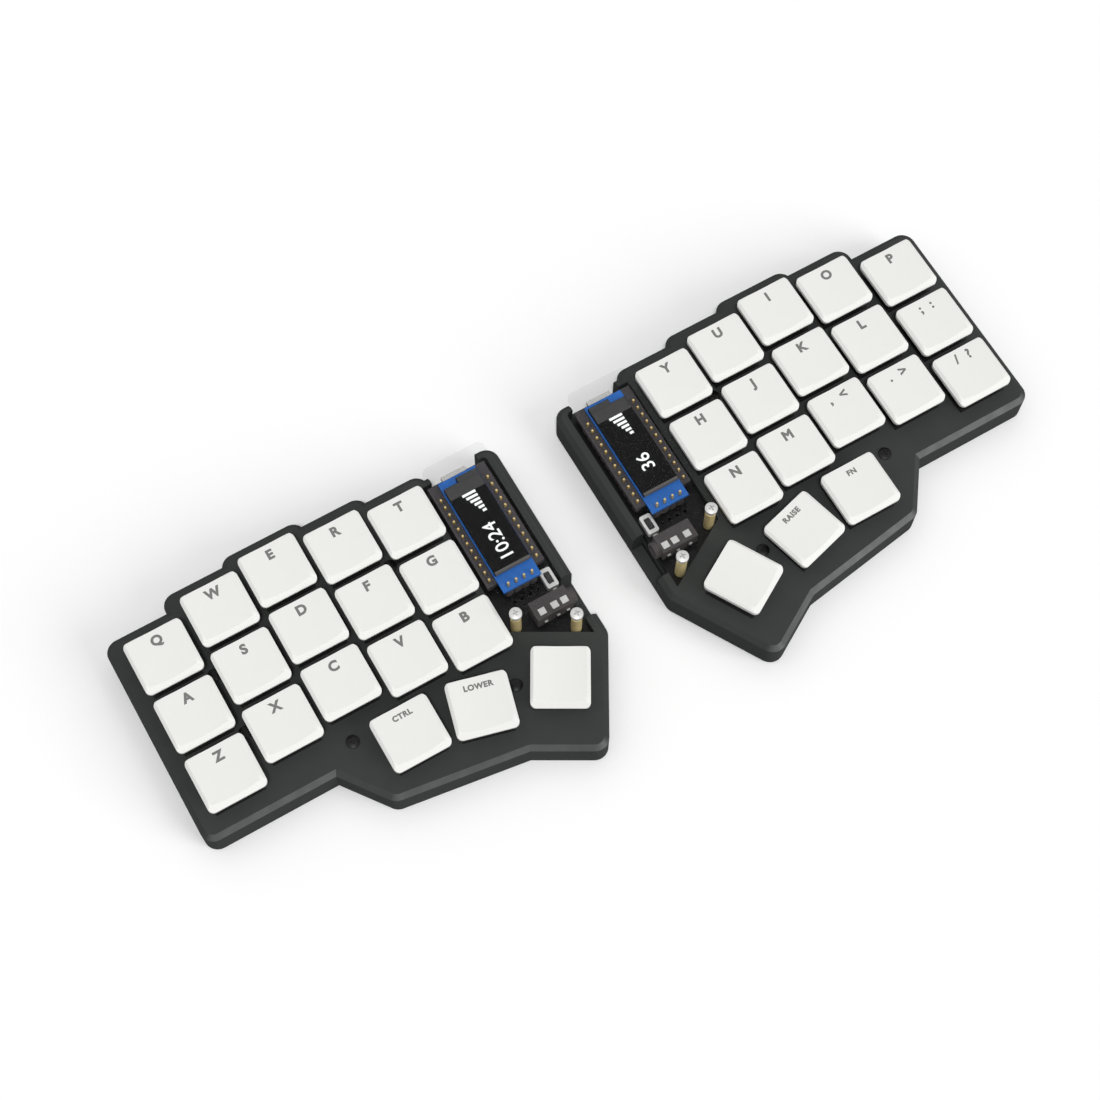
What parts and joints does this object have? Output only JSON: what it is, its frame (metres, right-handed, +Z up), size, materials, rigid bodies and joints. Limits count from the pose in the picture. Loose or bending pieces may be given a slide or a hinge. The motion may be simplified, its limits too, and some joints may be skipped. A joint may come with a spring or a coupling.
{
  "type": "ergonomic split keyboard",
  "caption": "Low-profile split keyboard in two mirrored halves, with staggered key columns, fanned thumb keys and a clear-covered controller bay.",
  "frame": {"origin": "middle of the two halves, at the desk surface under the rubber feet", "axes": "+X to the typist's right along both halves, +Y away from the typist, +Z up"},
  "size_m": [0.2686, 0.102, 0.0211],
  "materials": {
    "case": "fine matt",
    "base": "fine matt",
    "circuit_board": "solder mask",
    "controller_board": "solder mask",
    "reset_button": "satin",
    "display_board": "solder mask",
    "display_glass": "polished",
    "clear_cover": "polished, clear",
    "jack": "satin",
    "reset_frame": "satin",
    "switch_housing": "satin",
    "spring": "bright",
    "header": "satin",
    "pins": "plated",
    "usb_metal": "satin",
    "standoff": "bright",
    "cover_screw": "bright",
    "case_screw": "black oxide",
    "feet": "matt",
    "keycap": "fine matt"
  },
  "bodies": {
    "halves": {"left_top_case": "case", "right_top_case": "case", "left_bottom_case": "base", "right_bottom_case": "base", "left_circuit_board": "circuit_board", "right_circuit_board": "circuit_board", "left_controller_board": "controller_board", "right_controller_board": "controller_board", "display_boards": "display_board", "display_glasses": "display_glass", "display_covers": "clear_cover", "link_jacks": "jack", "reset_switches": "reset_frame", "switch_housings": "switch_housing", "switch_springs": "spring", "pin_headers": "header", "header_pins": "pins", "usb_sockets": "usb_metal", "standoffs": "standoff", "cover_screws": "cover_screw", "case_screws": "case_screw", "rubber_feet": "feet"},
    "left_reset_button": {"left_reset_button": "reset_button"},
    "right_reset_button": {"right_reset_button": "reset_button"},
    "key_q": {"key_q": "keycap"},
    "key_w": {"key_w": "keycap"},
    "key_e": {"key_e": "keycap"},
    "key_r": {"key_r": "keycap"},
    "key_t": {"key_t": "keycap"},
    "key_a": {"key_a": "keycap"},
    "key_s": {"key_s": "keycap"},
    "key_d": {"key_d": "keycap"},
    "key_f": {"key_f": "keycap"},
    "key_g": {"key_g": "keycap"},
    "key_z": {"key_z": "keycap"},
    "key_x": {"key_x": "keycap"},
    "key_c": {"key_c": "keycap"},
    "key_v": {"key_v": "keycap"},
    "key_b": {"key_b": "keycap"},
    "left_outer_thumb_key": {"left_outer_thumb_key": "keycap"},
    "left_middle_thumb_key": {"left_middle_thumb_key": "keycap"},
    "left_inner_thumb_key": {"left_inner_thumb_key": "keycap"},
    "key_p": {"key_p": "keycap"},
    "key_o": {"key_o": "keycap"},
    "key_i": {"key_i": "keycap"},
    "key_u": {"key_u": "keycap"},
    "key_y": {"key_y": "keycap"},
    "key_semicolon": {"key_semicolon": "keycap"},
    "key_l": {"key_l": "keycap"},
    "key_k": {"key_k": "keycap"},
    "key_j": {"key_j": "keycap"},
    "key_h": {"key_h": "keycap"},
    "key_slash": {"key_slash": "keycap"},
    "key_period": {"key_period": "keycap"},
    "key_comma": {"key_comma": "keycap"},
    "key_m": {"key_m": "keycap"},
    "key_n": {"key_n": "keycap"},
    "right_outer_thumb_key": {"right_outer_thumb_key": "keycap"},
    "right_middle_thumb_key": {"right_middle_thumb_key": "keycap"},
    "right_inner_thumb_key": {"right_inner_thumb_key": "keycap"}
  },
  "joints": [
    {"name": "key_q_press", "type": "slide", "parent": "halves", "child": "key_q", "axis": [0, 0, -1], "range_m": [0, 0.003], "stiffness_N_per_m": 90, "springref_m": -0.004, "deforming": ["switch_springs"]},
    {"name": "key_w_press", "type": "slide", "parent": "halves", "child": "key_w", "axis": [0, 0, -1], "range_m": [0, 0.003], "stiffness_N_per_m": 90, "springref_m": -0.004, "deforming": ["switch_springs"]},
    {"name": "key_e_press", "type": "slide", "parent": "halves", "child": "key_e", "axis": [0, 0, -1], "range_m": [0, 0.003], "stiffness_N_per_m": 90, "springref_m": -0.004, "deforming": ["switch_springs"]},
    {"name": "key_r_press", "type": "slide", "parent": "halves", "child": "key_r", "axis": [0, 0, -1], "range_m": [0, 0.003], "stiffness_N_per_m": 90, "springref_m": -0.004, "deforming": ["switch_springs"]},
    {"name": "key_t_press", "type": "slide", "parent": "halves", "child": "key_t", "axis": [0, 0, -1], "range_m": [0, 0.003], "stiffness_N_per_m": 90, "springref_m": -0.004, "deforming": ["switch_springs"]},
    {"name": "key_a_press", "type": "slide", "parent": "halves", "child": "key_a", "axis": [0, 0, -1], "range_m": [0, 0.003], "stiffness_N_per_m": 90, "springref_m": -0.004, "deforming": ["switch_springs"]},
    {"name": "key_s_press", "type": "slide", "parent": "halves", "child": "key_s", "axis": [0, 0, -1], "range_m": [0, 0.003], "stiffness_N_per_m": 90, "springref_m": -0.004, "deforming": ["switch_springs"]},
    {"name": "key_d_press", "type": "slide", "parent": "halves", "child": "key_d", "axis": [0, 0, -1], "range_m": [0, 0.003], "stiffness_N_per_m": 90, "springref_m": -0.004, "deforming": ["switch_springs"]},
    {"name": "key_f_press", "type": "slide", "parent": "halves", "child": "key_f", "axis": [0, 0, -1], "range_m": [0, 0.003], "stiffness_N_per_m": 90, "springref_m": -0.004, "deforming": ["switch_springs"]},
    {"name": "key_g_press", "type": "slide", "parent": "halves", "child": "key_g", "axis": [0, 0, -1], "range_m": [0, 0.003], "stiffness_N_per_m": 90, "springref_m": -0.004, "deforming": ["switch_springs"]},
    {"name": "key_z_press", "type": "slide", "parent": "halves", "child": "key_z", "axis": [0, 0, -1], "range_m": [0, 0.003], "stiffness_N_per_m": 90, "springref_m": -0.004, "deforming": ["switch_springs"]},
    {"name": "key_x_press", "type": "slide", "parent": "halves", "child": "key_x", "axis": [0, 0, -1], "range_m": [0, 0.003], "stiffness_N_per_m": 90, "springref_m": -0.004, "deforming": ["switch_springs"]},
    {"name": "key_c_press", "type": "slide", "parent": "halves", "child": "key_c", "axis": [0, 0, -1], "range_m": [0, 0.003], "stiffness_N_per_m": 90, "springref_m": -0.004, "deforming": ["switch_springs"]},
    {"name": "key_v_press", "type": "slide", "parent": "halves", "child": "key_v", "axis": [0, 0, -1], "range_m": [0, 0.003], "stiffness_N_per_m": 90, "springref_m": -0.004, "deforming": ["switch_springs"]},
    {"name": "key_b_press", "type": "slide", "parent": "halves", "child": "key_b", "axis": [0, 0, -1], "range_m": [0, 0.003], "stiffness_N_per_m": 90, "springref_m": -0.004, "deforming": ["switch_springs"]},
    {"name": "left_outer_thumb_key_press", "type": "slide", "parent": "halves", "child": "left_outer_thumb_key", "axis": [0, 0, -1], "range_m": [0, 0.003], "stiffness_N_per_m": 90, "springref_m": -0.004, "deforming": ["switch_springs"]},
    {"name": "left_middle_thumb_key_press", "type": "slide", "parent": "halves", "child": "left_middle_thumb_key", "axis": [0, 0, -1], "range_m": [0, 0.003], "stiffness_N_per_m": 90, "springref_m": -0.004, "deforming": ["switch_springs"]},
    {"name": "left_inner_thumb_key_press", "type": "slide", "parent": "halves", "child": "left_inner_thumb_key", "axis": [0, 0, -1], "range_m": [0, 0.003], "stiffness_N_per_m": 90, "springref_m": -0.004, "deforming": ["switch_springs"]},
    {"name": "key_p_press", "type": "slide", "parent": "halves", "child": "key_p", "axis": [0, 0, -1], "range_m": [0, 0.003], "stiffness_N_per_m": 90, "springref_m": -0.004, "deforming": ["switch_springs"]},
    {"name": "key_o_press", "type": "slide", "parent": "halves", "child": "key_o", "axis": [0, 0, -1], "range_m": [0, 0.003], "stiffness_N_per_m": 90, "springref_m": -0.004, "deforming": ["switch_springs"]},
    {"name": "key_i_press", "type": "slide", "parent": "halves", "child": "key_i", "axis": [0, 0, -1], "range_m": [0, 0.003], "stiffness_N_per_m": 90, "springref_m": -0.004, "deforming": ["switch_springs"]},
    {"name": "key_u_press", "type": "slide", "parent": "halves", "child": "key_u", "axis": [0, 0, -1], "range_m": [0, 0.003], "stiffness_N_per_m": 90, "springref_m": -0.004, "deforming": ["switch_springs"]},
    {"name": "key_y_press", "type": "slide", "parent": "halves", "child": "key_y", "axis": [0, 0, -1], "range_m": [0, 0.003], "stiffness_N_per_m": 90, "springref_m": -0.004, "deforming": ["switch_springs"]},
    {"name": "key_semicolon_press", "type": "slide", "parent": "halves", "child": "key_semicolon", "axis": [0, 0, -1], "range_m": [0, 0.003], "stiffness_N_per_m": 90, "springref_m": -0.004, "deforming": ["switch_springs"]},
    {"name": "key_l_press", "type": "slide", "parent": "halves", "child": "key_l", "axis": [0, 0, -1], "range_m": [0, 0.003], "stiffness_N_per_m": 90, "springref_m": -0.004, "deforming": ["switch_springs"]},
    {"name": "key_k_press", "type": "slide", "parent": "halves", "child": "key_k", "axis": [0, 0, -1], "range_m": [0, 0.003], "stiffness_N_per_m": 90, "springref_m": -0.004, "deforming": ["switch_springs"]},
    {"name": "key_j_press", "type": "slide", "parent": "halves", "child": "key_j", "axis": [0, 0, -1], "range_m": [0, 0.003], "stiffness_N_per_m": 90, "springref_m": -0.004, "deforming": ["switch_springs"]},
    {"name": "key_h_press", "type": "slide", "parent": "halves", "child": "key_h", "axis": [0, 0, -1], "range_m": [0, 0.003], "stiffness_N_per_m": 90, "springref_m": -0.004, "deforming": ["switch_springs"]},
    {"name": "key_slash_press", "type": "slide", "parent": "halves", "child": "key_slash", "axis": [0, 0, -1], "range_m": [0, 0.003], "stiffness_N_per_m": 90, "springref_m": -0.004, "deforming": ["switch_springs"]},
    {"name": "key_period_press", "type": "slide", "parent": "halves", "child": "key_period", "axis": [0, 0, -1], "range_m": [0, 0.003], "stiffness_N_per_m": 90, "springref_m": -0.004, "deforming": ["switch_springs"]},
    {"name": "key_comma_press", "type": "slide", "parent": "halves", "child": "key_comma", "axis": [0, 0, -1], "range_m": [0, 0.003], "stiffness_N_per_m": 90, "springref_m": -0.004, "deforming": ["switch_springs"]},
    {"name": "key_m_press", "type": "slide", "parent": "halves", "child": "key_m", "axis": [0, 0, -1], "range_m": [0, 0.003], "stiffness_N_per_m": 90, "springref_m": -0.004, "deforming": ["switch_springs"]},
    {"name": "key_n_press", "type": "slide", "parent": "halves", "child": "key_n", "axis": [0, 0, -1], "range_m": [0, 0.003], "stiffness_N_per_m": 90, "springref_m": -0.004, "deforming": ["switch_springs"]},
    {"name": "right_outer_thumb_key_press", "type": "slide", "parent": "halves", "child": "right_outer_thumb_key", "axis": [0, 0, -1], "range_m": [0, 0.003], "stiffness_N_per_m": 90, "springref_m": -0.004, "deforming": ["switch_springs"]},
    {"name": "right_middle_thumb_key_press", "type": "slide", "parent": "halves", "child": "right_middle_thumb_key", "axis": [0, 0, -1], "range_m": [0, 0.003], "stiffness_N_per_m": 90, "springref_m": -0.004, "deforming": ["switch_springs"]},
    {"name": "right_inner_thumb_key_press", "type": "slide", "parent": "halves", "child": "right_inner_thumb_key", "axis": [0, 0, -1], "range_m": [0, 0.003], "stiffness_N_per_m": 90, "springref_m": -0.004, "deforming": ["switch_springs"]},
    {"name": "left_reset_press", "type": "slide", "parent": "halves", "child": "left_reset_button", "axis": [0, 0, -1], "range_m": [0, 0.00025], "stiffness_N_per_m": 400, "springref_m": -0.001},
    {"name": "right_reset_press", "type": "slide", "parent": "halves", "child": "right_reset_button", "axis": [0, 0, -1], "range_m": [0, 0.00025], "stiffness_N_per_m": 400, "springref_m": -0.001}
  ]
}
